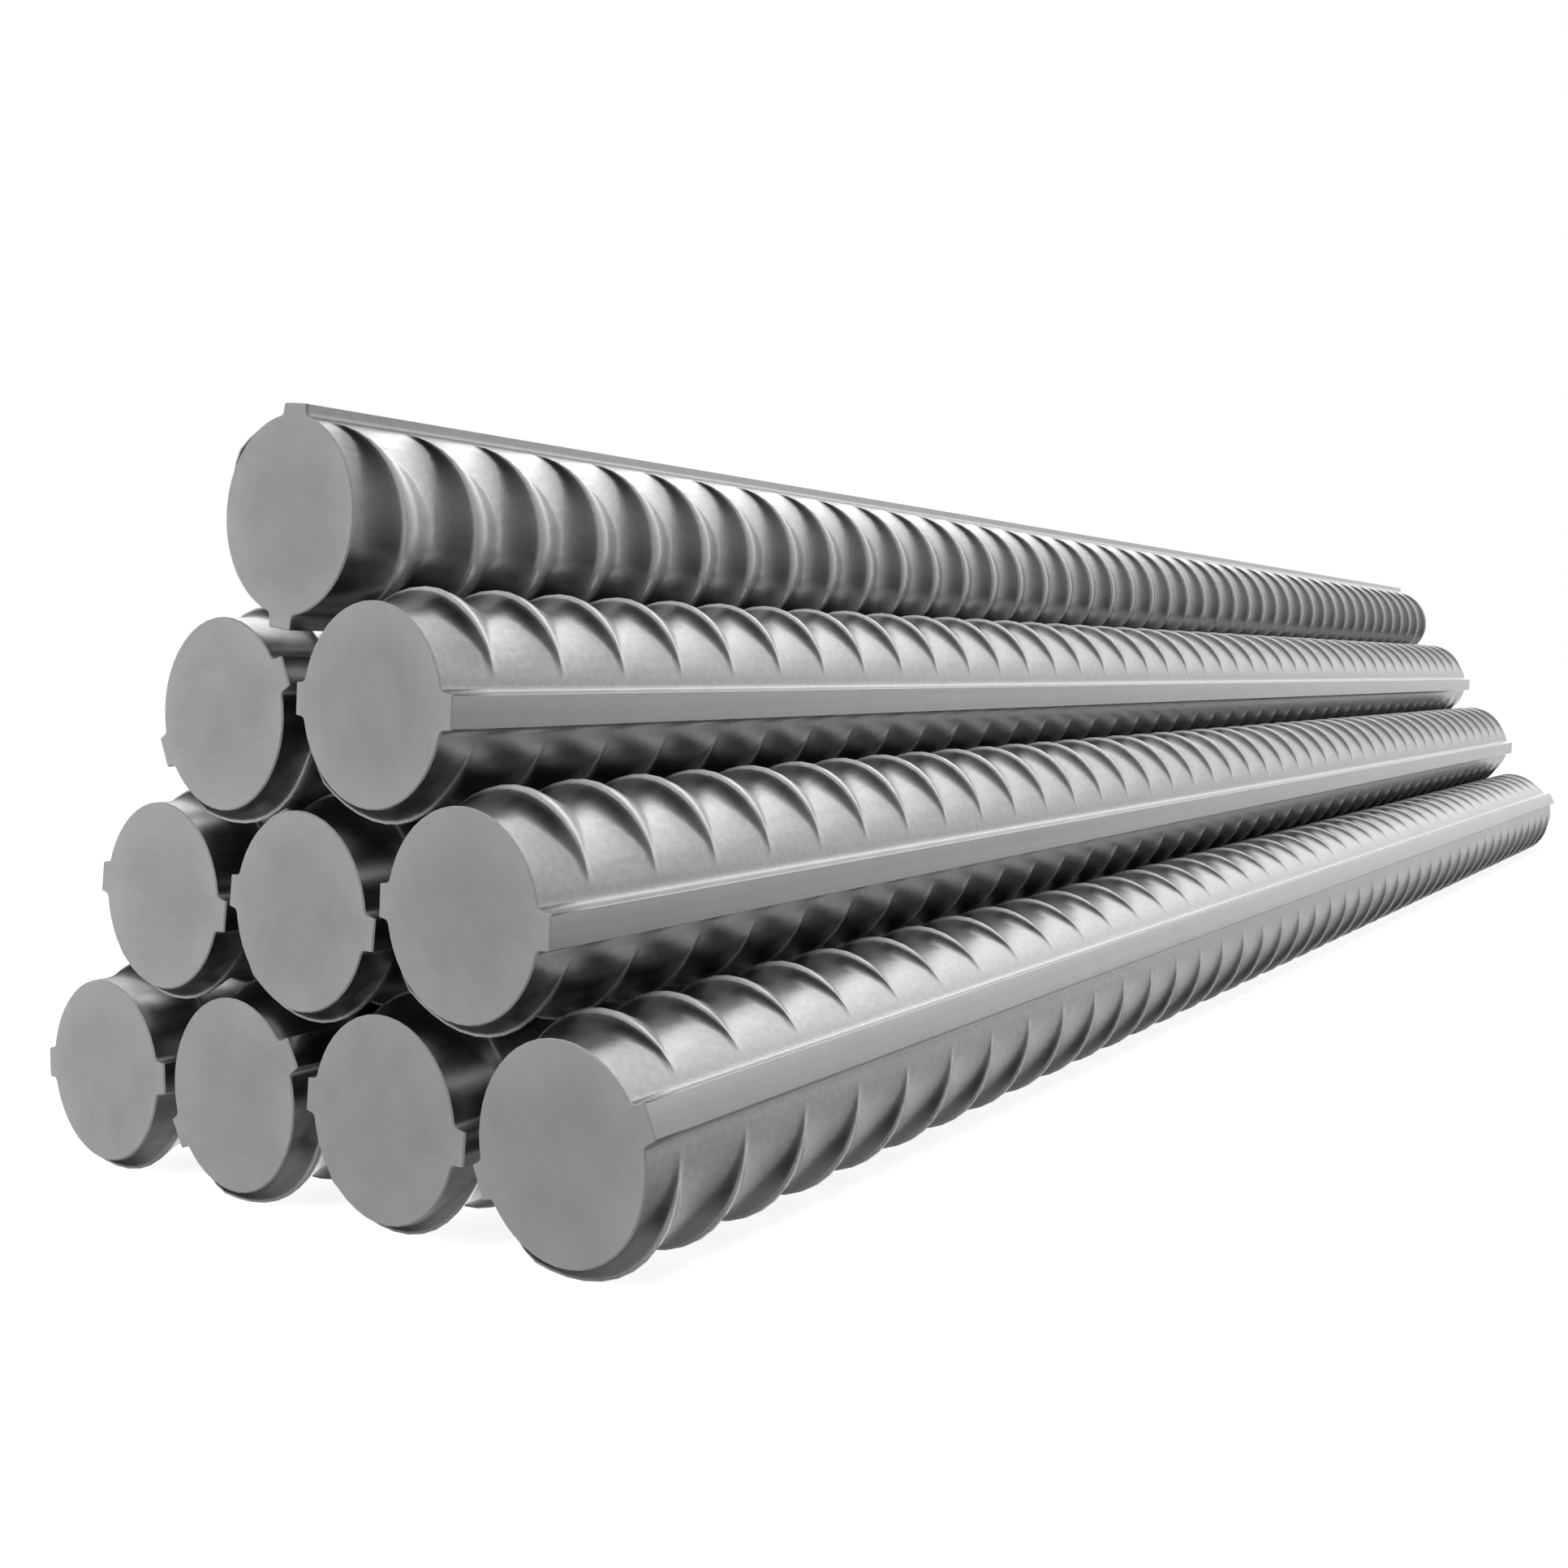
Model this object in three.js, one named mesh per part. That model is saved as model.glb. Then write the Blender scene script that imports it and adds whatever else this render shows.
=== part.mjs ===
// A pile of ten ribbed steel reinforcing bars, stacked four, three, two and one.
//
// Units are millimetres. The bars lie along +X, with their near ends at -X, and the pile
// stands on the plane z = 0. The origin is the middle of the pile's footprint.
//
// Each bar is one rolled piece. Its solid is the bar's own section drawn straight along its
// length: a round core, two long ridges opposite each other, and between the ridges the two
// crescents that the crests of its cross ribs reach. The single cross ribs are surface
// relief, so the crescents stand for them where one bar bears on another or on the ground.
import * as THREE from "three";

// ---- one bar ----
const BAR_LENGTH = 550;
const CORE_DIAMETER = 27.2;
const RIDGE_HEIGHT = 2; // of a long ridge, above the core
const RIDGE_TOP_WIDTH = 4.4; // across the flat top of a long ridge
const RIDGE_FLANK_SPREAD = 0.2; // how much wider a ridge is at its foot, on each side
const CREST_HEIGHT = 2.2; // of a cross rib, above the core, half way between the ridges
const BARE_STRIP = 2.2; // core left bare between a ridge's foot and the cross ribs' ends
const CRESCENT_FACETS = 28;

// ---- the pile ----
const BAR_CLEARANCE = 0.3; // left open between bars that bear on each other

// How each bar lies in its row: the turn of its ridges in degrees, anticlockwise as seen from
// the near end, where 0 has a ridge at each side. Rows from the bottom up, bars from the left.
const RIDGE_TURNS = [
  [1, 28, -7, 21],
  [-9, -9, -5],
  [21, -5],
  [-99],
];

const SETTLING_HALVINGS = 20; // of the height still in doubt as a bar settles

const coreRadius = CORE_DIAMETER / 2;
const ridgeRadius = coreRadius + RIDGE_HEIGHT;
const largestRadius = coreRadius + Math.max(RIDGE_HEIGHT, CREST_HEIGHT);
const barPitch = 2 * ridgeRadius + BAR_CLEARANCE; // the bars of a row lie ridge to ridge

const rolledSteel = new THREE.MeshStandardMaterial({
  name: "rolled_steel",
  color: new THREE.Color(0.57, 0.57, 0.57),
  roughness: 0.4,
  metalness: 1,
});

/** The point at an angle (radians) and a distance from a bar's axis. */
function polar(angle, radius) {
  return new THREE.Vector2(radius * Math.cos(angle), radius * Math.sin(angle));
}

/**
 * Half of a bar's section, anticlockwise: one ridge's flat top, the bare strip beside it, a
 * crescent, and the bare strip before the other ridge. A crescent stands out from the core by
 * the crest height times one minus the square of the distance from its middle, where that
 * distance is 0 in the middle and 1 at the tips.
 */
function halfSection(ridgeAngle) {
  const topHalfAngle = Math.asin(RIDGE_TOP_WIDTH / 2 / ridgeRadius);
  const footHalfAngle = Math.asin((RIDGE_TOP_WIDTH / 2 + RIDGE_FLANK_SPREAD) / coreRadius);
  const crescentStart = footHalfAngle + BARE_STRIP / coreRadius;
  const crescentSweep = Math.PI - 2 * crescentStart;
  const points = [
    polar(ridgeAngle - topHalfAngle, ridgeRadius),
    polar(ridgeAngle + topHalfAngle, ridgeRadius),
    polar(ridgeAngle + footHalfAngle, coreRadius),
  ];
  for (let facet = 0; facet <= CRESCENT_FACETS; facet += 1) {
    const wayRound = facet / CRESCENT_FACETS;
    const fromMiddle = 2 * wayRound - 1;
    const rise = CREST_HEIGHT * (1 - fromMiddle ** 2);
    points.push(polar(ridgeAngle + crescentStart + crescentSweep * wayRound, coreRadius + rise));
  }
  points.push(polar(ridgeAngle + Math.PI - footHalfAngle, coreRadius));
  return points;
}

/** A bar's whole section, anticlockwise, with a ridge on each side of its axis. */
const barSection = [...halfSection(0), ...halfSection(Math.PI)];

/** The section of a bar that lies at a place across the pile, turned by an angle. */
function placedSection(bar) {
  const axis = new THREE.Vector2(0, 0);
  const place = new THREE.Vector2(bar.across, bar.height);
  return barSection.map((point) => point.clone().rotateAround(axis, bar.turn).add(place));
}

/** Distance from a point to the straight edge between two corners of a section. */
function distanceToEdge(point, from, to) {
  const edgeX = to.x - from.x;
  const edgeY = to.y - from.y;
  const offsetX = point.x - from.x;
  const offsetY = point.y - from.y;
  const along = (offsetX * edgeX + offsetY * edgeY) / (edgeX * edgeX + edgeY * edgeY);
  const nearest = THREE.MathUtils.clamp(along, 0, 1);
  return Math.hypot(offsetX - nearest * edgeX, offsetY - nearest * edgeY);
}

/** Whether a point is inside a section: a level ray from it crosses the edges an odd number of times. */
function isInside(point, section) {
  let crossings = 0;
  section.forEach((from, index) => {
    const to = section[(index + 1) % section.length];
    const spansHeight = from.y > point.y !== to.y > point.y;
    const crossingX = from.x + ((point.y - from.y) / (to.y - from.y)) * (to.x - from.x);
    if (spansHeight && crossingX > point.x) crossings += 1;
  });
  return crossings % 2 === 1;
}

/** Whether every corner of one section stays outside another and keeps the clearance to it. */
function cornersStayClear(corners, section) {
  return corners.every((point) => {
    const farFromEdges = section.every((from, index) => {
      const to = section[(index + 1) % section.length];
      return distanceToEdge(point, from, to) >= BAR_CLEARANCE;
    });
    return farFromEdges && !isInside(point, section);
  });
}

function barsStayClear(bar, otherBar) {
  const section = placedSection(bar);
  const otherSection = placedSection(otherBar);
  return cornersStayClear(section, otherSection) && cornersStayClear(otherSection, section);
}

/** A bar that rests on the ground: its section's lowest corner is at height 0. */
function layOnGround(bar) {
  const lowest = Math.min(...placedSection(bar).map((point) => point.y));
  return { ...bar, height: bar.height - lowest };
}

/** A bar lowered until it bears on one of the two bars that it lies between. */
function settleOn(bar, supports) {
  const supportHeight = Math.max(...supports.map((support) => support.height));
  let clearHeight = supportHeight + 2 * largestRadius + BAR_CLEARANCE;
  let blockedHeight = supportHeight;
  for (let halving = 0; halving < SETTLING_HALVINGS; halving += 1) {
    const height = (clearHeight + blockedHeight) / 2;
    const isClear = supports.every((support) => barsStayClear({ ...bar, height }, support));
    if (isClear) clearHeight = height;
    else blockedHeight = height;
  }
  return { ...bar, height: clearHeight };
}

/** The places and turns of all bars, row by row from the bottom. */
function stackBars() {
  const rows = [];
  RIDGE_TURNS.forEach((turns, rowIndex) => {
    const row = turns.map((turnDegrees, index) => {
      const across = (index - (turns.length - 1) / 2) * barPitch;
      const bar = { across, height: 0, turn: THREE.MathUtils.degToRad(turnDegrees) };
      if (rowIndex === 0) return layOnGround(bar);
      return settleOn(bar, rows[rowIndex - 1].slice(index, index + 2));
    });
    rows.push(row);
  });
  return rows;
}

const barGeometry = new THREE.ExtrudeGeometry(new THREE.Shape(barSection), {
  depth: BAR_LENGTH,
  steps: 1,
  bevelEnabled: false,
});

// The pile is laid out in its end view: x runs across it to the right, y runs up, and the
// bars come out of that view towards the near end. The group turns that view into place.
const pile = new THREE.Group();
pile.name = "rebar_pile";
pile.quaternion.setFromRotationMatrix(
  new THREE.Matrix4().makeBasis(
    new THREE.Vector3(0, -1, 0),
    new THREE.Vector3(0, 0, 1),
    new THREE.Vector3(-1, 0, 0),
  ),
);
pile.position.x = BAR_LENGTH / 2;

stackBars().forEach((row, rowIndex) => {
  row.forEach((place, index) => {
    const bar = new THREE.Mesh(barGeometry, rolledSteel.clone());
    bar.name = `bar_row${rowIndex + 1}_${index + 1}`;
    bar.position.set(place.across, place.height, 0);
    bar.rotation.z = place.turn;
    pile.add(bar);
  });
});

export default pile;
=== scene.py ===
"""Dresses a pile of ten ribbed steel reinforcing bars, stacked four, three, two and one.

The CAD part gives each bar's place and its main section. This script replaces each solid
with the bar's real surface: a round core, two long ridges, crescent cross ribs that fade out
towards the ridges, and sawn ends. Sizes in the classes are millimetres, as on a drawing, and
are turned into metres when a mesh is made.
"""

import logging
import math
from collections.abc import Iterator, Mapping, Sequence
from dataclasses import dataclass, field
from enum import Enum
from typing import Any

import bpy
import numpy as np
from mathutils import Matrix, Vector

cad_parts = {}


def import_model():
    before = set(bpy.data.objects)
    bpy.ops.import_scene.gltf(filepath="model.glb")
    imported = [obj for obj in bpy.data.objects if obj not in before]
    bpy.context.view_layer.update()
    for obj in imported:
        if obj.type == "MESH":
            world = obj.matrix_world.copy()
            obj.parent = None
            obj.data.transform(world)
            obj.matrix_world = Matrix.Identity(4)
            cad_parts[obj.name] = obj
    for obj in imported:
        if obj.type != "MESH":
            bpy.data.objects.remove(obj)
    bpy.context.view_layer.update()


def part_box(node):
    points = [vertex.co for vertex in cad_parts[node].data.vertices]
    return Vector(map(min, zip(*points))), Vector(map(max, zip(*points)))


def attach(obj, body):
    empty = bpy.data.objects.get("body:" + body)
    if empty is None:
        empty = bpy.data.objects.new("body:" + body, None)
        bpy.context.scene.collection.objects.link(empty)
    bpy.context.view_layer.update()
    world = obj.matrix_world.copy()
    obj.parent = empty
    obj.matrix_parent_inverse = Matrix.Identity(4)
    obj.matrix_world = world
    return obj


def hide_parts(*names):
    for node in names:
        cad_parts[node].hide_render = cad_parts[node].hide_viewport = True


LOG = logging.getLogger("rebar_pile")
MM = 0.001  # metres in a millimetre
PICTURE_SIDE = 1932  # pixels along each side of the picture
MIX_SHARE = 0  # a Mix node's socket for the share of its second value
MIX_COLOURS = (6, 7)  # its sockets for the two colours
MIX_RESULT = 2  # its output for the mixed colour
ROOT_BODY = "root"


# ---------------------------------------------------------------- shader expressions


class Signal:
    """A number carried by a shader socket, which Python arithmetic extends with Math nodes."""

    def __init__(self, graph: "NodeGraph", socket: bpy.types.NodeSocket) -> None:
        """Wraps an output socket of a node in the given graph."""
        self.graph = graph
        self.socket = socket

    def _with(self, operation: str, *values: "Signal | float") -> "Signal":
        """Feeds values to one Math node and returns its result."""
        sockets = dict(enumerate(values))
        return self.graph.signal("ShaderNodeMath", {"operation": operation}, sockets)

    def __add__(self, other: "Signal | float") -> "Signal":
        """Returns self + other."""
        return self._with("ADD", self, other)

    def __radd__(self, other: float) -> "Signal":
        """Returns other + self."""
        return self._with("ADD", other, self)

    def __sub__(self, other: "Signal | float") -> "Signal":
        """Returns self - other."""
        return self._with("SUBTRACT", self, other)

    def __rsub__(self, other: float) -> "Signal":
        """Returns other - self."""
        return self._with("SUBTRACT", other, self)

    def __mul__(self, other: "Signal | float") -> "Signal":
        """Returns self * other."""
        return self._with("MULTIPLY", self, other)

    def __rmul__(self, other: float) -> "Signal":
        """Returns other * self."""
        return self._with("MULTIPLY", other, self)

    def held(self, low: float = 0.0, high: float = 1.0) -> "Signal":
        """Returns self kept between two limits."""
        return self._with("MINIMUM", self._with("MAXIMUM", self, low), high)

    def step(self, start: float, end: float) -> "Signal":
        """Eases from 0 where self is start to 1 where self is end.

        Args:
            start: The value of self below which the result is 0.
            end: The value of self above which the result is 1.

        Returns:
            The eased signal.
        """
        sockets = {"Value": self, "From Min": start, "From Max": end}
        return self.graph.signal(
            "ShaderNodeMapRange", {"interpolation_type": "SMOOTHSTEP"}, sockets, "Result"
        )


@dataclass(frozen=True)
class Blend:
    """A value that noises and marks move up and down."""

    middle: float
    spreads: tuple[float, ...]  # what each noise adds between its own 0 and 1
    shifts: tuple[float, ...] = ()  # what each mark adds where it is 1

    def of(self, noises: Sequence[Signal] = (), marks: Sequence[Signal] = ()) -> Signal:
        """Works out the value.

        It is the middle, plus each spread times what its noise is above a half, plus each
        shift times its mark.

        Args:
            noises: A signal from 0 to 1 for each spread.
            marks: A signal from 0 to 1 for each shift.

        Returns:
            The value.
        """
        parts = [spread * (noise - 0.5) for spread, noise in zip(self.spreads, noises)]
        parts += [shift * mark for shift, mark in zip(self.shifts, marks)]
        return sum(parts, self.middle)


@dataclass(frozen=True)
class Grain:
    """The grain of a smooth noise."""

    scale: tuple[float, float, float]  # lumps in one unit along each axis of its coordinates
    detail: float  # how many finer layers are added
    roughness: float = 0.5  # the strength of each finer layer


class NodeGraph:
    """Builds the nodes of one material or world."""

    def __init__(self, tree: bpy.types.NodeTree) -> None:
        """Clears the tree that the nodes go into."""
        self.tree = tree
        tree.nodes.clear()

    def node(
        self,
        kind: str,
        settings: Mapping[str, Any] | None = None,
        sockets: Mapping[str | int, Any] | None = None,
    ) -> bpy.types.Node:
        """Makes one node.

        Args:
            kind: The node's Blender type name.
            settings: Its own settings, such as a Math node's operation. They are set first.
            sockets: What each input socket, by name or number, is linked to or set to.

        Returns:
            The node.
        """
        made = self.tree.nodes.new(kind)
        for name, value in (settings or {}).items():
            setattr(made, name, value)
        for name, value in (sockets or {}).items():
            if isinstance(value, Signal):
                value = value.socket
            if isinstance(value, bpy.types.NodeSocket):
                self.tree.links.new(value, made.inputs[name])
            else:
                made.inputs[name].default_value = value
        return made

    def signal(
        self,
        kind: str,
        settings: Mapping[str, Any] | None = None,
        sockets: Mapping[str | int, Any] | None = None,
        output: str | int = 0,
    ) -> Signal:
        """Makes one node and wraps the output that is named or numbered."""
        return Signal(self, self.node(kind, settings, sockets).outputs[output])

    def attribute(self, name: str, output: str = "Fac") -> Signal:
        """Reads a mesh attribute, as a number or as a vector."""
        return self.signal("ShaderNodeAttribute", {"attribute_name": name}, None, output)

    def scaled(self, vector: bpy.types.NodeSocket, scale: Sequence[float]) -> bpy.types.NodeSocket:
        """Multiplies a vector by a scale for each of its axes."""
        settings = {"operation": "MULTIPLY"}
        return self.node("ShaderNodeVectorMath", settings, {0: vector, 1: scale}).outputs[0]

    def noise(self, vector: bpy.types.NodeSocket, grain: Grain) -> Signal:
        """Makes smooth noise between 0 and 1.

        Args:
            vector: The coordinates that it follows.
            grain: Its size and fineness.

        Returns:
            The noise value.
        """
        sockets = {"Scale": 1.0, "Detail": grain.detail, "Roughness": grain.roughness}
        sockets["Vector"] = self.scaled(vector, grain.scale)
        return self.signal("ShaderNodeTexNoise", None, sockets, "Fac")

    def mixed(
        self,
        share: Signal,
        first: bpy.types.NodeSocket | Sequence[float],
        second: bpy.types.NodeSocket | Sequence[float],
    ) -> bpy.types.NodeSocket:
        """Mixes two colours by a share from 0, all first, to 1, all second."""
        colours = (
            colour if isinstance(colour, bpy.types.NodeSocket) else (*colour, 1.0)
            for colour in (first, second)
        )
        sockets = {MIX_SHARE: share, **dict(zip(MIX_COLOURS, colours))}
        return self.node("ShaderNodeMix", {"data_type": "RGBA"}, sockets).outputs[MIX_RESULT]

    def bump(self, height: Signal, depth: float) -> bpy.types.NodeSocket:
        """Turns a height from 0 to 1 into a bumped normal, depth metres deep."""
        sockets = {"Height": height, "Distance": depth}
        return self.node("ShaderNodeBump", None, sockets).outputs["Normal"]

    def surface(self, shader: bpy.types.NodeSocket, kind: str = "ShaderNodeOutputMaterial") -> None:
        """Links a shader to the tree's output."""
        self.node(kind, None, {"Surface": shader})


# ---------------------------------------------------------------- finishes


class MeshNote(Enum):
    """The attributes that a bar's mesh carries for its finishes."""

    PROUD = "proud"  # 0 on the core, 1 on the crests and the ridge tops
    SCALE = "scale"  # 1 where shade is painted on a rib's near flank, 0 elsewhere
    WORN_AND_HIGHLIGHT = "worn"  # 1 along the crest of a rib, some on a ridge's sides, 0 elsewhere: wear that also paints a highlight on the crests and a light line on the ridges' sides
    RIM = "rim"  # 1 on the broken edge round a sawn end, 0 inside it
    CUT = "cut"  # metres on a sawn end: across the saw's path, along it, into its pattern


@dataclass(frozen=True)
class RolledSteel:
    """Bare hot-rolled steel: satin grey, drawn out along the bar, pale on the worn crests, which
    also paints a highlight there, with painted shade on the ribs' near flanks.
    """

    name: str = "rolled_steel"
    dark: tuple[float, float, float] = (0.32, 0.32, 0.32)
    light: tuple[float, float, float] = (0.66, 0.66, 0.66)
    # The pale worn colour also paints a highlight along the crests and a light line on the ridges'
    # sides.
    worn: tuple[float, float, float] = (0.72, 0.72, 0.72)
    flank_shade_colour: tuple[float, float, float] = (0.0, 0.0, 0.0)
    flank_shade_share: float = 0.2  # of the painted shade's colour, where shade is painted
    worn_and_highlight_share: float = 0.9  # of the worn colour, where a crest is worn, which also paints a highlight there
    worn_matt: float = 0.7  # how much of a worn place is matt
    clouds: Grain = Grain((95.0, 95.0, 95.0), 4.0, 0.6)
    streaks: Grain = Grain((9.0, 520.0, 520.0), 3.0, 0.55)
    grain: Grain = Grain((1000.0, 1000.0, 1000.0), 3.0, 0.6)
    paleness: Blend = Blend(0.6, (0.4, 0.5))  # clouds, streaks
    grain_paleness: float = 0.6
    roughness: Blend = Blend(0.32, (0.16, 0.1), (-0.05, 0.08))  # clouds, streaks; proud, painted flank shade
    roughness_limits: tuple[float, float] = (0.2, 0.6)
    relief: Blend = Blend(0.0, (), (0.15, 0.35, 0.5))  # clouds, streaks, grain
    relief_depth: float = 0.00003  # metres
    rubbed_share: float = 0.8  # of the grain, lost where the surface stands proud

    def material(self) -> bpy.types.Material:
        """Builds the material.

        The colour runs from dark to light with clouds of a centimetre, fine streaks along the
        bar and a fine grain that is rubbed off where the surface stands proud. It has painted
        shade on the ribs' near flanks, and is pale and half matt where it is worn, which also
        paints a highlight along the crests and a light line on the ridges' sides.

        Returns:
            The material.
        """
        made = bpy.data.materials.new(self.name)
        made.use_nodes = True
        graph = NodeGraph(made.node_tree)
        place = graph.node("ShaderNodeTexCoord").outputs["Object"]
        clouds, streaks, grain = (
            graph.noise(place, pattern) for pattern in (self.clouds, self.streaks, self.grain)
        )
        # scale is the mask of the painted shade on the near flanks; worn is wear that also paints a
        # highlight on the crests.
        proud, scale, worn = (
            graph.attribute(note.value) for note in (MeshNote.PROUD, MeshNote.SCALE, MeshNote.WORN_AND_HIGHLIGHT)
        )
        unrubbed = 1 - self.rubbed_share * proud
        pale = self.paleness.of((clouds, streaks)) + self.grain_paleness * unrubbed * (grain - 0.5)
        bare = graph.mixed(pale.held(), self.dark, self.light)
        # Painted shade darkens the ribs' near flanks.
        rolled = graph.mixed(self.flank_shade_share * scale, bare, self.flank_shade_colour)
        roughness = self.roughness.of((clouds, streaks), (proud, scale))
        relief = unrubbed * self.relief.of(marks=(clouds, streaks, grain))
        sockets = {
            # The pale worn colour is also a painted highlight along the crests.
            "Base Color": graph.mixed(self.worn_and_highlight_share * worn, rolled, self.worn),
            "Metallic": 1 - self.worn_matt * worn,
            "Roughness": roughness.held(*self.roughness_limits),
            "Normal": graph.bump(relief, self.relief_depth),
        }
        graph.surface(graph.node("ShaderNodeBsdfPrincipled", None, sockets).outputs[0])
        return made


@dataclass(frozen=True)
class SawnSteel:
    """The sawn end of a bar: matt grey with fine parallel saw marks and a bright rim."""

    name: str = "sawn_steel"
    dark: tuple[float, float, float] = (0.40, 0.40, 0.40)
    light: tuple[float, float, float] = (0.60, 0.60, 0.60)
    marks: Grain = Grain((2600.0, 90.0, 1.0), 2.0)
    bands: Grain = Grain((260.0, 30.0, 1.0), 2.0)
    clouds: Grain = Grain((130.0, 130.0, 130.0), 3.0)
    paleness: Blend = Blend(0.12, (0.3, 0.3, 0.7), (0.4,))  # marks, bands, clouds; rim
    metallic: float = 0.45
    roughness: Blend = Blend(0.6, (0.12,), (-0.14,))  # bands; rim
    roughness_limits: tuple[float, float] = (0.3, 0.8)
    relief: Blend = Blend(0.0, (), (0.8, 0.2))  # marks, bands
    relief_depth: float = 0.00003  # metres

    def material(self) -> bpy.types.Material:
        """Builds the material.

        Fine marks and wider bands run along the saw's path, over faint clouds, and the broken
        edge is lighter.

        Returns:
            The material.
        """
        made = bpy.data.materials.new(self.name)
        made.use_nodes = True
        graph = NodeGraph(made.node_tree)
        place = graph.node("ShaderNodeTexCoord").outputs["Object"]
        cut = graph.attribute(MeshNote.CUT.value, "Vector").socket
        marks, bands = graph.noise(cut, self.marks), graph.noise(cut, self.bands)
        clouds = graph.noise(place, self.clouds)
        rim = graph.attribute(MeshNote.RIM.value)
        pale = self.paleness.of((marks, bands, clouds), (rim,))
        sockets = {
            "Base Color": graph.mixed(pale.held(), self.dark, self.light),
            "Metallic": self.metallic,
            "Roughness": self.roughness.of((bands,), (rim,)).held(*self.roughness_limits),
            "Normal": graph.bump(self.relief.of(marks=(marks, bands)), self.relief_depth),
        }
        graph.surface(graph.node("ShaderNodeBsdfPrincipled", None, sockets).outputs[0])
        return made


class Finish(Enum):
    """A bar's finishes, in the order of its material slots."""

    ROLLED = 0
    SAWN = 1


# ---------------------------------------------------------------- one bar


def eased_corner(
    before: Sequence[float], corner: Sequence[float], after: Sequence[float], steps: int
) -> np.ndarray:
    """Rounds one corner of a profile.

    The rounding is a quadratic blend: at share t it is (1 - t) squared times the point
    before, plus twice t (1 - t) times the corner, plus t squared times the point after.

    Args:
        before: The point where the rounding starts.
        corner: The sharp corner.
        after: The point where the rounding ends.
        steps: How many straight pieces it has.

    Returns:
        The points of the rounding, both ends included, one a row.
    """
    share = np.linspace(0.0, 1.0, steps + 1)[:, None]
    ends = (1 - share) ** 2 * np.asarray(before) + share**2 * np.asarray(after)
    return ends + 2 * share * (1 - share) * np.asarray(corner)


@dataclass(frozen=True)
class Section:
    """A bar's section between cross ribs: a round core with a long ridge on each side."""

    core_diameter: float = 27.2
    ridge_height: float = 2.0
    second_ridge_height: float = 1.6
    ridge_top_width: float = 4.4
    ridge_flank_spread: float = 0.2  # how much wider a ridge is at its foot, on each side
    bare_strip: float = 2.2  # core left bare between a ridge's foot and the ribs' tips
    top_edge_round: float = 0.14  # how far the rounding of a ridge's top edge reaches
    top_edge_steps: int = 3
    foot_round: float = 0.9  # how far the rounding of a ridge's foot reaches over the core
    foot_share: float = 0.35  # of the ridge's height, up which that rounding reaches
    foot_steps: int = 4
    rib_zone_steps: int = 9
    rib_zone_crowding: float = 1.12  # above 1, stations crowd towards the ribs' tips
    flank_rises: tuple[float, ...] = (0.0, 0.06, 0.4, 0.7)  # ways up a ridge's flank
    flank_wear_and_highlight: tuple[float, ...] = (0.0, 0.35, 0.2, 0.0)  # how worn it is at each of them, which also paints a light line

    @property
    def core_radius(self) -> float:
        """The radius of the round core."""
        return self.core_diameter / 2

    @property
    def rib_start(self) -> float:
        """The angle from a ridge's middle at which the cross ribs end, in radians."""
        half_foot = self.ridge_top_width / 2 + self.ridge_flank_spread
        return math.asin(half_foot / self.core_radius) + self.bare_strip / self.core_radius

    def _ridge_quarter(self, height: float) -> tuple[np.ndarray, np.ndarray]:
        """Traces a ridge from its middle down to the core.

        The flat top, the flank and the core are joined by eased corners. The corner at the
        foot leaves the flank straight and meets the core at the core's own circle.

        Args:
            height: The ridge's height above the core.

        Returns:
            The angles from the ridge's middle and the distances from the bar's axis.
        """
        half_top = self.ridge_top_width / 2
        top = math.sqrt((self.core_radius + height) ** 2 - half_top**2)
        half_foot = half_top + self.ridge_flank_spread
        foot = math.sqrt(self.core_radius**2 - half_foot**2)
        edge, heel = np.array([half_top, top]), np.array([half_foot, foot])
        down = (heel - edge) / np.linalg.norm(heel - edge)
        on_core = math.asin(half_foot / self.core_radius) + self.foot_round / self.core_radius
        landing = self.core_radius * np.array([math.sin(on_core), math.cos(on_core)])
        start = edge - np.array([self.top_edge_round, 0.0])
        end = edge + down * self.top_edge_round
        top_edge = eased_corner(start, edge, end, self.top_edge_steps)
        lift_off = heel - down * self.foot_share * height
        foot_edge = eased_corner(lift_off, heel, landing, self.foot_steps)
        points = np.vstack([[0.0, top], top_edge, foot_edge])
        return np.arctan2(points[:, 0], points[:, 1]), np.hypot(points[:, 0], points[:, 1])

    def outline(self) -> tuple[np.ndarray, np.ndarray, np.ndarray]:
        """Works out the stations round the whole section.

        A half goes from the first ridge's middle to the second's, and is mirrored into the
        whole. In the rib zone the reach of the cross ribs is one minus the square of the way
        from the zone's middle to its end.

        Returns:
            The stations' angles from the first ridge, in radians, their distances from the
            axis between ribs, and the reach of the cross ribs there, from 0 to 1.
        """
        share = np.linspace(0.0, 1.0, self.rib_zone_steps + 1) ** self.rib_zone_crowding
        zone = self.rib_start + (math.pi / 2 - self.rib_start) * share
        quarters = []
        for height in (self.ridge_height, self.second_ridge_height):
            angles, radii = self._ridge_quarter(height)
            between = (angles[-1] + zone[0]) / 2
            plain = np.full(len(zone) + 1, self.core_radius)
            angles = np.concatenate([angles, [between], zone])
            quarters.append((angles, np.concatenate([radii, plain])))
        (first_angles, first_radii), (second_angles, second_radii) = quarters
        angles = np.concatenate([first_angles, math.pi - second_angles[-2::-1]])
        radii = np.concatenate([first_radii, second_radii[-2::-1]])
        from_middle = (math.pi / 2 - angles) / (math.pi / 2 - self.rib_start)
        reach = np.clip(1 - from_middle**2, 0.0, 1.0)
        whole_angles = np.concatenate([angles, 2 * math.pi - angles[-2:0:-1]])
        whole_radii = np.concatenate([radii, radii[-2:0:-1]])
        return whole_angles, whole_radii, np.concatenate([reach, reach[-2:0:-1]])


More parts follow.
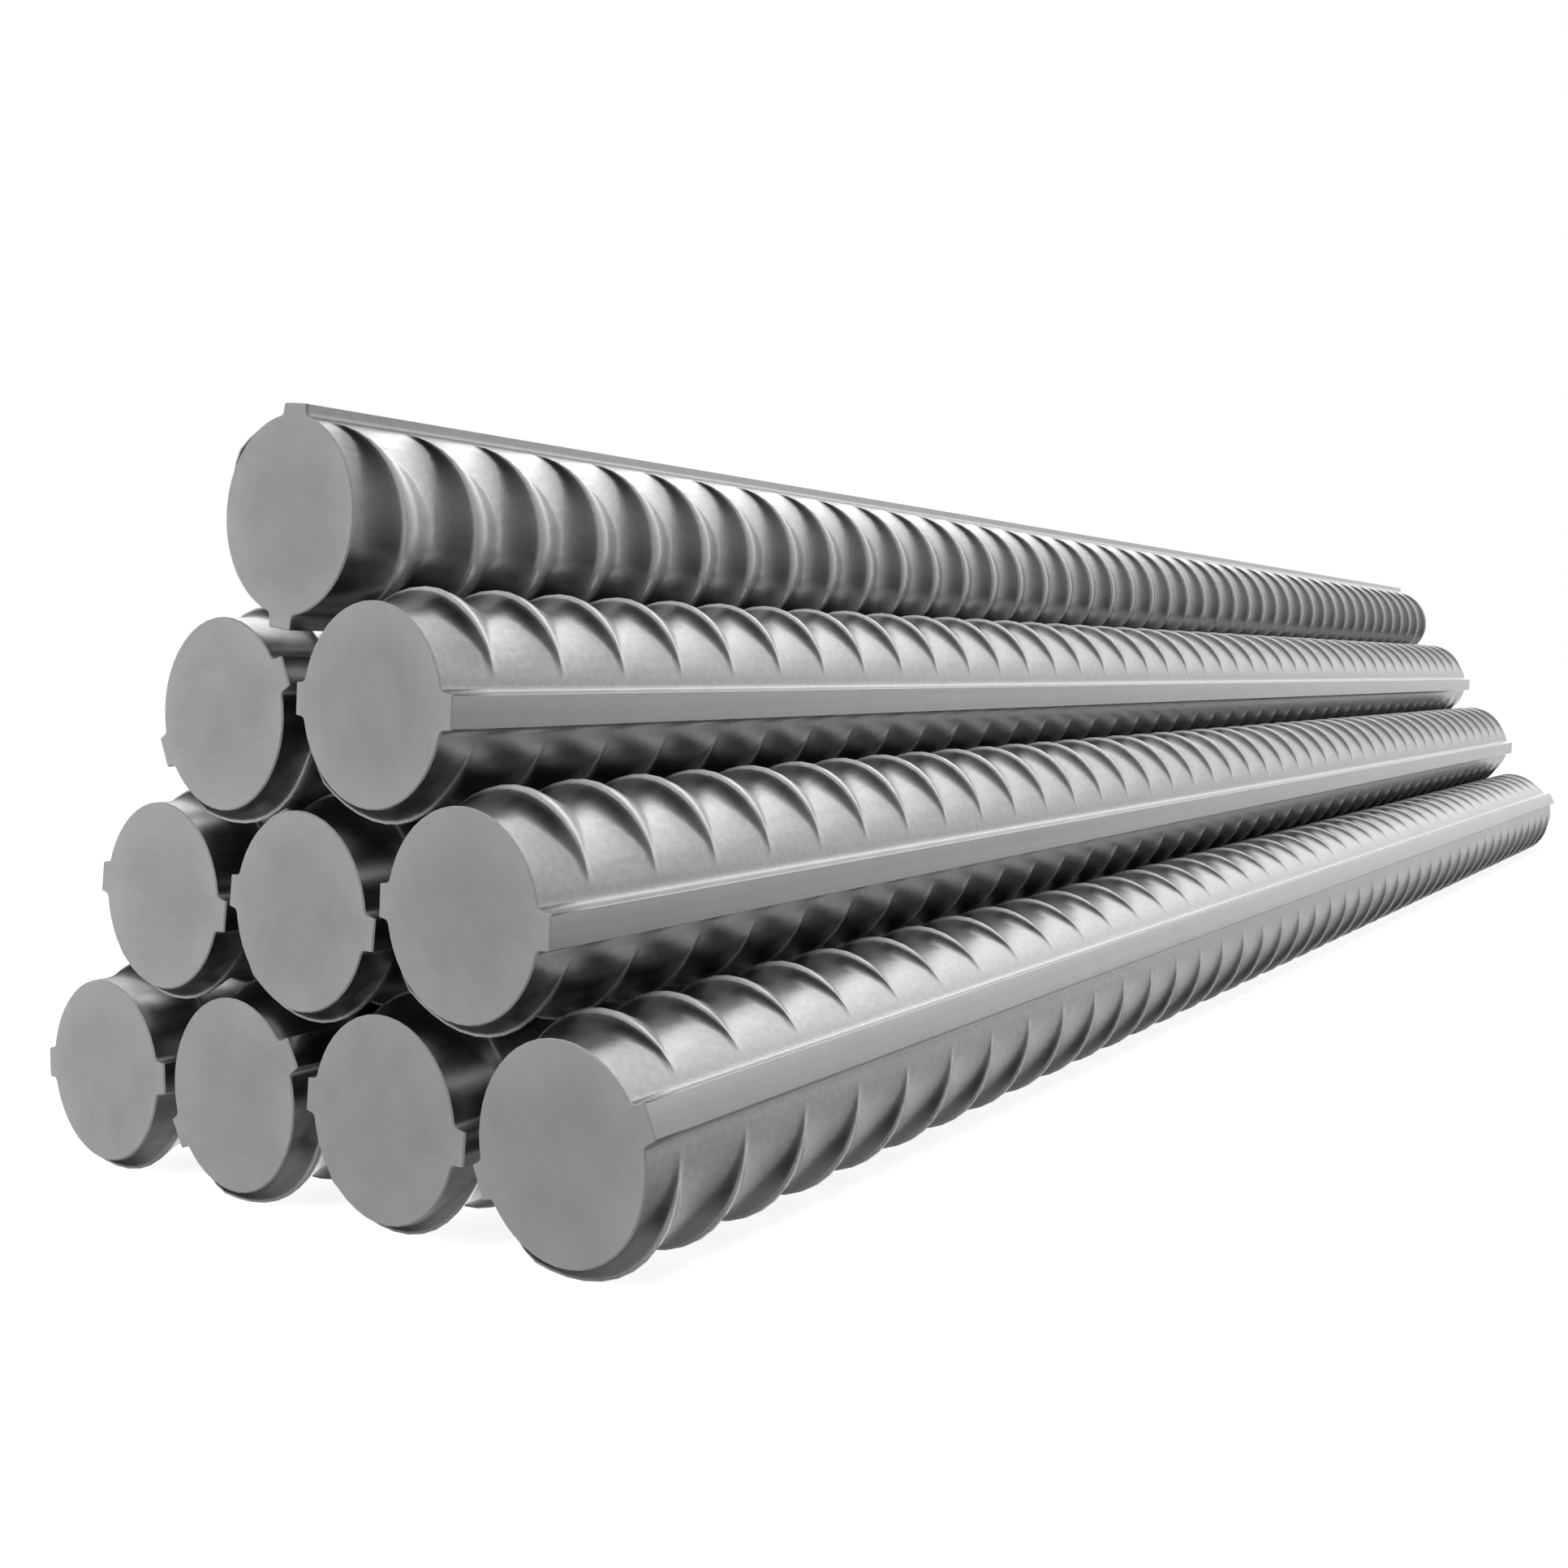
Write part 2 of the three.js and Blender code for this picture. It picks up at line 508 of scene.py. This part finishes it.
@dataclass(frozen=True)
class RibRow:
    """How the crests' lines run between one ridge and the next, anticlockwise round the bar.

    Each of the last four is a length along the bar. A positive one moves what it names away
    from the near end, or the second tips towards it.
    """

    middle_degrees: float
    shift: float  # of the lines' middles, away from the near end
    lean: float  # of the lines, as twice the second tips' move towards the near end
    bow: float  # of both tips, towards the near end
    hook: float  # of the last part of both tips: the first away, the second towards it


@dataclass(frozen=True)
class CrossRib:
    """A cross rib: a crescent with a long slope towards the near end and a steep far side."""

    spacing: float = 12.5
    first_crest: float = 7.15  # from the near end
    height: float = 2.2
    crest_width: float = 2.6
    near_flank: float = 5.6  # its length along the bar
    near_curve: float = 1.8
    near_shoulder: float = 0.8  # its height, as a share of the crest's
    far_flank: float = 4.1
    far_curve: float = 1.3
    far_shoulder: float = 0.74
    height_fade: float = 1.3
    fade_skew: float = 0.4
    width_fade: float = 1.6
    least_width: float = 0.2
    rows: tuple[RibRow, ...] = (
        RibRow(90.0, 2.05, 3.2, 2.5, 1.1),
        RibRow(270.0, -3.5, -5.6, 1.7, -1.3),
    )
    line_steps: int = 40
    near_ways: tuple[float, ...] = (1.0, 0.72, 0.46, 0.22, 0.06)  # 1 at the foot, 0 at the crest
    near_flank_shade: tuple[float, ...] = (0.1, 0.5, 0.9, 1.0, 0.9)  # how much painted shade darkens it
    # The wear is pale and half matt and also paints a highlight along the crest.
    near_wear_and_highlight: tuple[float, ...] = (0.0, 0.0, 0.0, 0.0, 0.1)
    crest_ways: tuple[float, ...] = (-1.0, -0.8, -0.3, 0.35, 1.0)  # -1 and 1 at the shoulders
    crest_lifts: tuple[float, ...] = (0.95, 1.0, 0.88)  # between the shoulders
    crest_wear_and_highlight: tuple[float, ...] = (0.7, 0.9, 0.8, 0.75, 0.75)
    far_ways: tuple[float, ...] = (0.15, 0.35, 0.65, 1.0)  # 0 at the crest, 1 at the foot
    far_wear_and_highlight: tuple[float, ...] = (0.7, 0.5, 0.2, 0.0)
    full_wear_and_highlight_reach: float = 0.7  # the reach of the ribs from which they are worn in full
    wear_and_highlight_fade: float = 1.5
    # The painted shade on the near flank fades towards the tips.
    flank_shade_fade: float = 2.0

    def profile(self) -> tuple[np.ndarray, ...]:
        """Works out one rib's profile along the bar, from foot to foot.

        A flank's height is its shoulder's height times the way from its foot, from 0 to 1, to
        the power of the flank's curve, so it is hollow at the foot and steepest at the crest.
        A short steep lip leads from the near shoulder up to the crest, which is rounded over
        to the far shoulder.

        Returns:
            For each station: the share of the crest's half width and the length of flank that
            add up to its place, its height as a share of the rib's, how much painted shade
            darkens it, and how worn it is, which also paints a highlight.
        """
        near, crest, far = map(np.array, (self.near_ways, self.crest_ways, self.far_ways))
        crest_share = np.concatenate([-np.ones_like(near), crest, np.ones_like(far)])
        flank = np.concatenate([-near * self.near_flank, 0 * crest, far * self.far_flank])
        near_lift = self.near_shoulder * (1 - near) ** self.near_curve
        far_lift = self.far_shoulder * (1 - far) ** self.far_curve
        crest_lift = (self.near_shoulder, *self.crest_lifts, self.far_shoulder)
        height = np.concatenate([near_lift, crest_lift, far_lift])
        scale = np.concatenate([self.near_flank_shade, 0 * crest, 0 * far])
        worn = np.concatenate([self.near_wear_and_highlight, self.crest_wear_and_highlight, self.far_wear_and_highlight])
        return crest_share, flank, height, scale, worn

    def fades(self, angles: np.ndarray, reach: np.ndarray) -> tuple[np.ndarray, np.ndarray]:
        """Works out how a rib's height and width fade towards its tips.

        The height is the reach to a power that is the height fade plus, at the first row's
        first tip and the second row's second, the skew; at the other tips the skew is taken
        off. The width is the reach to the power of the width fade, with a least value.

        Args:
            angles: The stations' angles from the first ridge, in radians.
            reach: The reach of the ribs there, from 0 to 1.

        Returns:
            The height's share and the width's share at each angle.
        """
        power = self.height_fade + self.fade_skew * np.cos(angles)
        return reach**power, np.maximum(reach**self.width_fade, self.least_width)

    def finish_fades(self, reach: np.ndarray) -> tuple[np.ndarray, np.ndarray]:
        """Works out how the painted shade and the wear on a rib fade towards its tips.

        The painted shade's share is the reach to the power of its fade. The wear's share,
        which also paints a highlight, is the reach as a share of the one at which ribs are
        worn in full, at most 1, to the power of the wear fade.

        Args:
            reach: The reach of the ribs, from 0 to 1.

        Returns:
            The painted shade's share and the wear's share.
        """
        in_full = np.clip(reach / self.full_wear_and_highlight_reach, 0.0, 1.0)
        return reach**self.flank_shade_fade, in_full**self.wear_and_highlight_fade

    def crest_line(self, angles: np.ndarray, rib_start: float) -> np.ndarray:
        """Works out how far a crest's line is moved along the bar at each angle.

        With w as the way from a rib row's middle, from -1 at the first tip to 1 at the second,
        the move is the row's shift, minus half its lean times w, minus its bow times w
        squared, minus its hook times w cubed. It runs straight from row to row across the
        ridges.

        Args:
            angles: The stations' angles from the first ridge, in radians.
            rib_start: The angle from a ridge's middle at which the ribs end, in radians.

        Returns:
            The move at each angle, away from the near end.
        """
        half_sweep = math.pi / 2 - rib_start
        ways = np.linspace(-1.0, 1.0, self.line_steps + 1)
        knots = [math.radians(row.middle_degrees) + half_sweep * ways for row in self.rows]
        moves = [
            row.shift - row.lean / 2 * ways - row.bow * ways**2 - row.hook * ways**3
            for row in self.rows
        ]
        return np.interp(angles, np.concatenate(knots), np.concatenate(moves), period=2 * math.pi)


@dataclass(frozen=True)
class SawnEnd:
    """How a bar's ends are cut."""

    broken_edge: float = 0.2
    bare_rim: float = 0.6  # length of the bar at each end that no flank's foot enters
    least_flank: float = 0.3  # length of a flank that the bar's end cuts short
    inner_rings: tuple[float, ...] = (0.0, 0.55)  # shares of the outline's radius
    rim_glow: float = 0.6  # how bright the rim is beside the broken edge, which has 1
    degrees_between_cuts: float = 67.0  # between one bar's saw marks and the next one's
    depth_between_cuts: float = 10.0  # between one bar's pattern of marks and the next one's


@dataclass
class RibbedBar:
    """One reinforcing bar, as a surface over its length and round its section."""

    node: str
    turn_degrees: float
    number: int
    crest_shift: float = 0.0
    section: Section = field(default_factory=Section)
    rib: CrossRib = field(default_factory=CrossRib)
    end: SawnEnd = field(default_factory=SawnEnd)
    height_scatter: float = 0.03
    spacing_scatter: float = 0.05
    first_seed: int = 1000
    sharp_degrees: float = 40.0  # an edge that turns by more than this stays sharp

    def __post_init__(self) -> None:
        """Reads the bar's place from its CAD node, in millimetres."""
        low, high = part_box(self.node)
        self.near_x, self.far_x = low.x / MM, high.x / MM
        self.across = (low.y + high.y) / 2 / MM
        self.height = (low.z + high.z) / 2 / MM

    def _crests(self) -> tuple[np.ndarray, np.ndarray]:
        """Places the crests along the bar.

        Crest number i is at the first crest plus the bar's own shift plus i spacings, give or
        take the scatter of a rolled bar, and its height is scaled down by up to the height
        scatter.

        Returns:
            The crests' places along the bar and their shares of the full height.
        """
        chance = np.random.default_rng(self.first_seed + self.number)
        count = int((self.far_x - self.near_x) / self.rib.spacing)
        first = self.near_x + self.rib.first_crest + self.crest_shift
        places = first + self.rib.spacing * np.arange(count)
        places = places + self.spacing_scatter * chance.uniform(-1, 1, count)
        return places, 1 - self.height_scatter * chance.uniform(0, 1, count)

    def _shell(self) -> dict[str, np.ndarray]:
        """Works out the rolled surface on a grid of stations along and round the bar.

        The distance from the axis is the section's own, plus the rib's height times its fade
        at that angle times the profile at that place. The rib's crest and flanks narrow too,
        so that it runs out to a point. A flank that would pass the bar's end is shortened to
        end just inside it, and where the end cuts off a crest, what is left of the far flank
        starts there, lower by the share of it that is lost. The first and last stations are
        the bar's ends.

        Returns:
            Arrays with a row for each station along the bar and a column for each angle: the
            place along the bar, the distance from the axis, and the finish's attributes.
        """
        angles, radii, reach = self.section.outline()
        crest_share, flank, lift, scale, worn = self.rib.profile()
        crests, share = self._crests()
        fade, narrowing = self.rib.fades(angles, reach)
        half_crest = self.rib.crest_width / 2 * narrowing
        offset = crest_share[:, None] * half_crest + flank[:, None] * narrowing
        uncut = crests[:, None] + self.rib.crest_line(angles, self.section.rib_start)
        near_limit, far_limit = self.near_x + self.end.bare_rim, self.far_x - self.end.bare_rim
        places = np.maximum(uncut, near_limit + self.end.least_flank)
        left = share[:, None] * np.clip(1 - (places - uncut) / self.rib.far_flank, 0.0, 1.0)
        far_room = np.minimum(uncut + offset.max(axis=0), far_limit) - places
        far_room = np.maximum(far_room, self.end.least_flank)
        near_fit = np.minimum((places - near_limit) / -offset.min(axis=0), 1.0)[:, None]
        far_fit = np.minimum(far_room / offset.max(axis=0), 1.0)[:, None]
        ribs_x = places[:, None] + offset * np.where(offset < 0, near_fit, far_fit)
        flank_shade_fade, wear_and_highlight_fade = self.rib.finish_fades(reach)

        def rows(values: np.ndarray, near: float = 0.0, far: float = 0.0) -> np.ndarray:
            """Lays out what the crests' stations hold, between the bar's two ends."""
            on_ribs = np.broadcast_to(values, ribs_x.shape).reshape(-1, len(angles))
            return np.vstack([0 * reach + near, on_ribs, 0 * reach + far])

        rise = rows(left[:, None] * (self.rib.height * lift[:, None] * fade))
        ridge_rise = (radii - self.section.core_radius) / self.section.ridge_height
        ridge_wear_and_highlight = np.interp(ridge_rise, self.section.flank_rises, self.section.flank_wear_and_highlight)
        return {
            "along": rows(ribs_x, self.near_x, self.far_x),
            "radius": radii + rise,
            MeshNote.PROUD.value: np.maximum(rise / self.rib.height, ridge_rise),
            # Painted shade on the ribs' near flanks.
            MeshNote.SCALE.value: rows(scale[:, None] * flank_shade_fade),
            # Wear, which also paints a highlight on the crests and a light line on the ridges'
            # sides.
            MeshNote.WORN_AND_HIGHLIGHT.value: np.maximum(rows(worn[:, None] * wear_and_highlight_fade), ridge_wear_and_highlight),
        }

    def _with_ends(self, shell: dict[str, np.ndarray]) -> tuple[dict[str, np.ndarray], int]:
        """Adds the rows of both sawn ends to the shell's rows.

        From the middle outwards a sawn end has a pole, inner rings, the rim and the broken
        edge, which is a small chamfer all round.

        Args:
            shell: The rolled surface's arrays.

        Returns:
            The whole surface's arrays, and how many rows of faces each end has.
        """
        edge = self.end.broken_edge
        outline = shell["radius"][0]
        rings = np.array(self.end.inner_rings)[:, None] * outline
        rows = np.vstack([rings, outline - edge])
        blank = np.zeros_like(rows)
        rim = np.vstack([blank[:-1], np.full_like(outline, self.end.rim_glow)])
        whole = {
            "along": np.vstack([blank + self.near_x, shell["along"], blank + self.far_x]),
            "radius": np.vstack([rows, shell["radius"], rows[::-1]]),
            MeshNote.RIM.value: np.vstack([rim, np.zeros_like(shell["along"]), rim[::-1]]),
        }
        first, last = len(rows), len(rows) + len(shell["along"]) - 1
        whole["along"][first] += edge
        whole["along"][last] -= edge
        whole[MeshNote.RIM.value][[first, last]] = 1.0
        for name in (MeshNote.PROUD.value, MeshNote.SCALE.value, MeshNote.WORN_AND_HIGHLIGHT.value):
            whole[name] = np.vstack([blank, shell[name], blank])
        return whole, len(rows)

    def _faces(self, rows: int, columns: int) -> np.ndarray:
        """Numbers the corners of the grid's faces, which all face outwards.

        The first and last rows are poles, each one point that its faces share.

        Args:
            rows: How many rows the grid has, both poles included.
            columns: How many stations go round the bar.

        Returns:
            Four corners a face; a face at a pole has the pole twice.
        """
        row, column = np.meshgrid(np.arange(rows - 1), np.arange(columns), indexing="ij")
        following = (column + 1) % columns
        point = np.arange(rows * columns).reshape(rows, columns)
        point[0], point[-1] = point[0, 0], point[-1, 0]
        corners = [point[row, column], point[row + 1, column]]
        corners += [point[row + 1, following], point[row, following]]
        return np.stack(corners, -1).reshape(-1, 4)

    def build(self) -> bpy.types.Object:
        """Makes the bar's mesh and its object.

        A point at angle a and distance r is r cos a to the right of the axis and r sin a above
        it, where the right is -Y.

        Returns:
            The object, at the world's origin, with its place in its mesh.
        """
        whole, end_rows = self._with_ends(self._shell())
        angles = self.section.outline()[0] + math.radians(self.turn_degrees)
        rows, columns = whole["along"].shape
        right, up = whole["radius"] * np.cos(angles), whole["radius"] * np.sin(angles)
        points = np.stack([whole["along"], self.across - right, self.height + up], -1) * MM
        faces = self._faces(rows, columns)
        saw = math.radians(self.end.degrees_between_cuts * self.number)
        cut_across = right * math.cos(saw) + up * math.sin(saw)
        cut_along = up * math.cos(saw) - right * math.sin(saw)
        cut_depth = np.full_like(up, self.end.depth_between_cuts * self.number)
        cut = np.stack([cut_across, cut_along, cut_depth], -1) * MM
        face_row = np.repeat(np.arange(rows - 1), columns)
        on_end = (face_row < end_rows) | (face_row >= rows - 1 - end_rows)
        notes = {note.value: whole[note.value] for note in MeshNote if note.value in whole}
        notes[MeshNote.CUT.value] = cut
        mesh = grid_mesh(f"{self.node}_surface", points, faces, notes)
        finish = np.where(on_end, Finish.SAWN.value, Finish.ROLLED.value)
        mesh.polygons.foreach_set("material_index", finish.astype(np.int32))
        mesh.polygons.foreach_set("use_smooth", np.ones(len(faces), bool))
        mesh.set_sharp_from_angle(angle=math.radians(self.sharp_degrees))
        made = bpy.data.objects.new(f"{self.node}_ribbed", mesh)
        bpy.context.scene.collection.objects.link(made)
        return made

    def dress(self, finishes: Mapping[Finish, bpy.types.Material]) -> bpy.types.Object:
        """Builds the bar, gives it its finishes and lets it stand for its CAD node.

        Args:
            finishes: The material of each finish.

        Returns:
            The dressed bar.
        """
        made = self.build()
        for finish in Finish:
            made.data.materials.append(finishes[finish])
        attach(made, ROOT_BODY)
        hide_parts(self.node)
        return made


def grid_mesh(
    name: str, points: np.ndarray, faces: np.ndarray, notes: Mapping[str, np.ndarray]
) -> bpy.types.Mesh:
    """Puts a grid of points into a mesh.

    Corners that a face names twice running are taken once, so a face at a pole becomes a
    triangle, and points that no face uses are left out.

    Args:
        name: The mesh's name.
        points: The grid's points, with their places in the last axis.
        faces: Four point numbers a face.
        notes: Values for each point of the grid, as numbers or vectors, by attribute name.

    Returns:
        The mesh.
    """
    kept = faces != np.roll(faces, 1, axis=1)
    used, corners = np.unique(faces[kept], return_inverse=True)
    sides = kept.sum(axis=1)
    mesh = bpy.data.meshes.new(name)
    mesh.vertices.add(len(used))
    flat_points = points.reshape(-1, 3)[used]
    mesh.vertices.foreach_set("co", flat_points.astype(np.float32).ravel())
    mesh.loops.add(len(corners))
    mesh.loops.foreach_set("vertex_index", corners.astype(np.int32))
    mesh.polygons.add(len(faces))
    starts = np.concatenate([[0], np.cumsum(sides)[:-1]])
    mesh.polygons.foreach_set("loop_start", starts.astype(np.int32))
    mesh.update(calc_edges=True)
    mesh.validate()
    for note, values in notes.items():
        is_vector = values.ndim == 3
        kind, key = ("FLOAT_VECTOR", "vector") if is_vector else ("FLOAT", "value")
        attribute = mesh.attributes.new(note, kind, "POINT")
        taken = values.reshape(-1, 3)[used] if is_vector else values.reshape(-1)[used]
        attribute.data.foreach_set(key, taken.astype(np.float32).ravel())
    return mesh


# ---------------------------------------------------------------- the pile


@dataclass
class BarPile:
    """The whole pile, row by row from the bottom, and from left to right in each row.

    A ridge turn is how far a bar's ridges are turned, in degrees and anticlockwise as seen
    from the near end, where 0 has a ridge at each side. The shift of the top bar's crests,
    away from the near end, is there because each bar is cut at its own place in the pattern.
    """

    ridge_turns: tuple[tuple[float, ...], ...] = (
        (1, 28, -7, 21),
        (-9, -9, -5),
        (21, -5),
        (-99,),
    )
    top_crest_shift: float = -1.0

    def bars(self) -> Iterator[RibbedBar]:
        """Yields the bars, row by row from the bottom."""
        number = 0
        for row, turns in enumerate(self.ridge_turns, 1):
            for index, turn in enumerate(turns, 1):
                shift = self.top_crest_shift if row == len(self.ridge_turns) else 0.0
                yield RibbedBar(f"bar_row{row}_{index}", turn, number, shift)
                number += 1

    def dress(self) -> None:
        """Builds and dresses every bar, and reports each one."""
        finishes = {
            Finish.ROLLED: RolledSteel().material(),
            Finish.SAWN: SawnSteel().material(),
        }
        for bar in self.bars():
            piece = bar.dress(finishes)
            LOG.info("%s: %d faces", piece.name, len(piece.data.polygons))


# ---------------------------------------------------------------- the studio


@dataclass(frozen=True)
class SoftBox:
    """A square studio lamp that metal does not mirror, with its lengths in metres."""

    name: str
    place: tuple[float, float, float]
    aim: tuple[float, float, float]
    side: float
    watts: float

    def build(self) -> None:
        """Makes the lamp, turned so that it shines from its place towards its aim."""
        lamp = bpy.data.lights.new(self.name, "AREA")
        lamp.shape = "SQUARE"
        lamp.size = self.side
        lamp.energy = self.watts
        made = bpy.data.objects.new(self.name, lamp)
        made.location = self.place
        direction = Vector(self.aim) - Vector(self.place)
        made.rotation_euler = direction.to_track_quat("-Z", "Y").to_euler()
        made.visible_glossy = False
        made.visible_camera = False
        bpy.context.scene.collection.objects.link(made)


@dataclass(frozen=True)
class Studio:
    """A white studio that is bright behind the pile's far ends and dim behind the camera.

    Lengths are metres. The levels are strengths of the surroundings, where 1 is white. Each
    span says where a light starts and where it is full, on the part of a direction, from -1 to
    1, that its name gives: rearward is towards the far ends, leftward is away from the camera's
    side, and upward is up.
    """

    floor_side: float = 8.0
    floor_grey: float = 0.6
    near_lift: float = 0.87
    far_lift: float = 0.97
    lift_span: tuple[float, float] = (0.3, 1.6)  # distances from the pile's middle
    day_level: float = 0.06
    dim_level: float = 0.015
    front_level: float = 0.4
    front_rearward: tuple[float, float] = (-0.5, -0.8)
    side_level: float = 0.2
    side_leftward: tuple[float, float] = (-0.3, -0.9)
    side_upward: tuple[float, float] = (-0.7, 0.05)
    under_level: float = 0.25
    under_upward: tuple[float, float] = (-0.7, -0.95)
    low_level: float = 0.37
    high_level: float = 2.25
    slant: float = 0.5  # how much upward counts, beside leftward, in the climb to high
    slant_span: tuple[float, float] = (-0.85, 0.9)
    glow_level: float = 1.6
    glow_leftward: tuple[float, float] = (0.15, 0.5)
    glow_upward: tuple[float, float] = (0.0, 0.4)
    overhead_loss: float = 0.3
    overhead_upward: tuple[float, float] = (0.5, 0.85)
    backdrop_rearward: tuple[float, float] = (0.35, 0.78)
    backdrop_upward: tuple[float, float] = (-0.9, -0.4)
    boxes: tuple[SoftBox, ...] = (
        SoftBox("top_box", (-0.3, -0.15, 1.4), (0.0, 0.0, 0.05), side=1.0, watts=24.0),
        SoftBox("front_box", (-0.52, 0.3, 0.1), (0.0, 0.0, 0.05), side=0.2, watts=1.4),
    )

    def floor(self) -> None:
        """Makes the floor, a plain sheet that keeps the pile's soft shadow.

        Its colour is pale grey, and a lift that only the camera sees brings it up to white,
        less so beside the pile.
        """
        half = self.floor_side / 2
        corners = [(-half, -half, 0), (half, -half, 0), (half, half, 0), (-half, half, 0)]
        mesh = bpy.data.meshes.new("floor")
        mesh.from_pydata(corners, [], [(0, 1, 2, 3)])
        made = bpy.data.objects.new("floor", mesh)
        bpy.context.scene.collection.objects.link(made)
        made.visible_glossy = False
        paint = bpy.data.materials.new("floor_white")
        paint.use_nodes = True
        graph = NodeGraph(paint.node_tree)
        grey = (self.floor_grey,) * 3 + (1.0,)
        camera = Signal(graph, graph.node("ShaderNodeLightPath").outputs["Is Camera Ray"])
        place = graph.node("ShaderNodeTexCoord").outputs["Object"]
        away = graph.signal("ShaderNodeVectorMath", {"operation": "LENGTH"}, {0: place}, "Value")
        lifts = ((self.near_lift,) * 3, (self.far_lift,) * 3)
        glowing = {"Color": graph.mixed(away.step(*self.lift_span), *lifts), "Strength": camera}
        lift = graph.node("ShaderNodeEmission", None, glowing)
        sheet = graph.node("ShaderNodeBsdfDiffuse", None, {"Color": grey})
        both = graph.node("ShaderNodeAddShader", None, {0: sheet.outputs[0], 1: lift.outputs[0]})
        graph.surface(both.outputs[0])
        mesh.materials.append(paint)

    def world(self) -> None:
        """Makes the surroundings: white for the camera, and graded for metal.

        What metal mirrors is the dim level all round, plus the front level straight before
        the near ends, the side level towards the right, the under level straight below, and
        the backdrop towards the far ends. The backdrop goes from the low level at the lower
        right to the high level at the upper left, has a glow on its left above the floor, and
        loses a share straight overhead. Matt surfaces get the day level from all round.
        """
        world = bpy.data.worlds.new("studio_white")
        world.use_nodes = True
        bpy.context.scene.world = world
        graph = NodeGraph(world.node_tree)
        direction = graph.node("ShaderNodeTexCoord").outputs["Generated"]
        parts = graph.node("ShaderNodeSeparateXYZ", None, {0: direction}).outputs
        rearward, leftward, upward = (Signal(graph, part) for part in parts)
        climb = (self.slant * upward + leftward).step(*self.slant_span)
        glow = leftward.step(*self.glow_leftward) * upward.step(*self.glow_upward)
        backdrop = self.low_level + (self.high_level - self.low_level) * climb
        backdrop = backdrop + self.glow_level * glow
        backdrop = backdrop * (1 - self.overhead_loss * upward.step(*self.overhead_upward))
        behind = rearward.step(*self.backdrop_rearward) * upward.step(*self.backdrop_upward)
        side = leftward.step(*self.side_leftward) * upward.step(*self.side_upward)
        front = rearward.step(*self.front_rearward)
        under = upward.step(*self.under_upward)
        graded = self.dim_level + behind * backdrop + self.side_level * side
        graded = graded + self.front_level * front + self.under_level * under
        path = graph.node("ShaderNodeLightPath")
        rays = ("Is Camera Ray", "Is Glossy Ray", "Is Transmission Ray")
        camera, glossy, through = (Signal(graph, path.outputs[ray]) for ray in rays)
        mirrored = (glossy + through).held()
        strength = camera + mirrored * graded + (1 - (camera + mirrored).held()) * self.day_level
        sockets = {"Color": (1.0, 1.0, 1.0, 1.0), "Strength": strength}
        sky = graph.node("ShaderNodeBackground", None, sockets)
        graph.surface(sky.outputs[0], "ShaderNodeOutputWorld")

    def build(self) -> None:
        """Makes the floor, the surroundings and the lamps."""
        self.floor()
        self.world()
        for box in self.boxes:
            box.build()


@dataclass(frozen=True)
class ViewCamera:
    """The camera, low and close before the near ends, on the pile's right-hand side.

    Its place is in millimetres, and the optical centre is in pixels from the picture's upper
    left corner.
    """

    place: tuple[float, float, float] = (-409.0, -180.7, 67.5)
    heading_degrees: float = 33.54
    dip_degrees: float = -0.53
    roll_degrees: float = -1.75
    focal_length_pixels: float = 1934.2
    optical_centre: tuple[float, float] = (1060.0, 850.0)
    sensor_width: float = 36.0
    nearest_view: float = 0.01  # metres

    def build(self) -> None:
        """Makes the camera and sets it as the scene's.

        It looks along (cos dip cos heading, cos dip sin heading, -sin dip), and is then rolled
        about that line.
        """
        heading, dip, roll = (
            math.radians(degrees)
            for degrees in (self.heading_degrees, self.dip_degrees, self.roll_degrees)
        )
        ahead = Vector(
            (math.cos(dip) * math.cos(heading), math.cos(dip) * math.sin(heading), -math.sin(dip))
        )
        right = Vector((math.sin(heading), -math.cos(heading), 0.0))
        up = right.cross(ahead)
        rolled_right = math.cos(roll) * right + math.sin(roll) * up
        rolled_up = -math.sin(roll) * right + math.cos(roll) * up
        lens = bpy.data.cameras.new("view_camera")
        lens.sensor_width = self.sensor_width
        lens.lens = self.focal_length_pixels / PICTURE_SIDE * self.sensor_width
        lens.shift_x = (PICTURE_SIDE / 2 - self.optical_centre[0]) / PICTURE_SIDE
        lens.shift_y = (self.optical_centre[1] - PICTURE_SIDE / 2) / PICTURE_SIDE
        lens.clip_start = self.nearest_view
        made = bpy.data.objects.new("view_camera", lens)
        turn = Matrix((rolled_right, rolled_up, -ahead)).transposed().to_4x4()
        made.matrix_world = Matrix.Translation(Vector(self.place) * MM) @ turn
        bpy.context.scene.collection.objects.link(made)
        bpy.context.scene.camera = made


# ---------------------------------------------------------------- the scene


def main() -> None:
    """Loads the frame, builds the camera, the studio and the pile."""
    logging.basicConfig(level=logging.INFO, format="%(message)s")
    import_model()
    ViewCamera().build()
    Studio().build()
    BarPile().dress()
    bpy.context.scene.view_settings.view_transform = "Standard"
    bpy.context.view_layer.update()


if __name__ == "__main__":
    main()
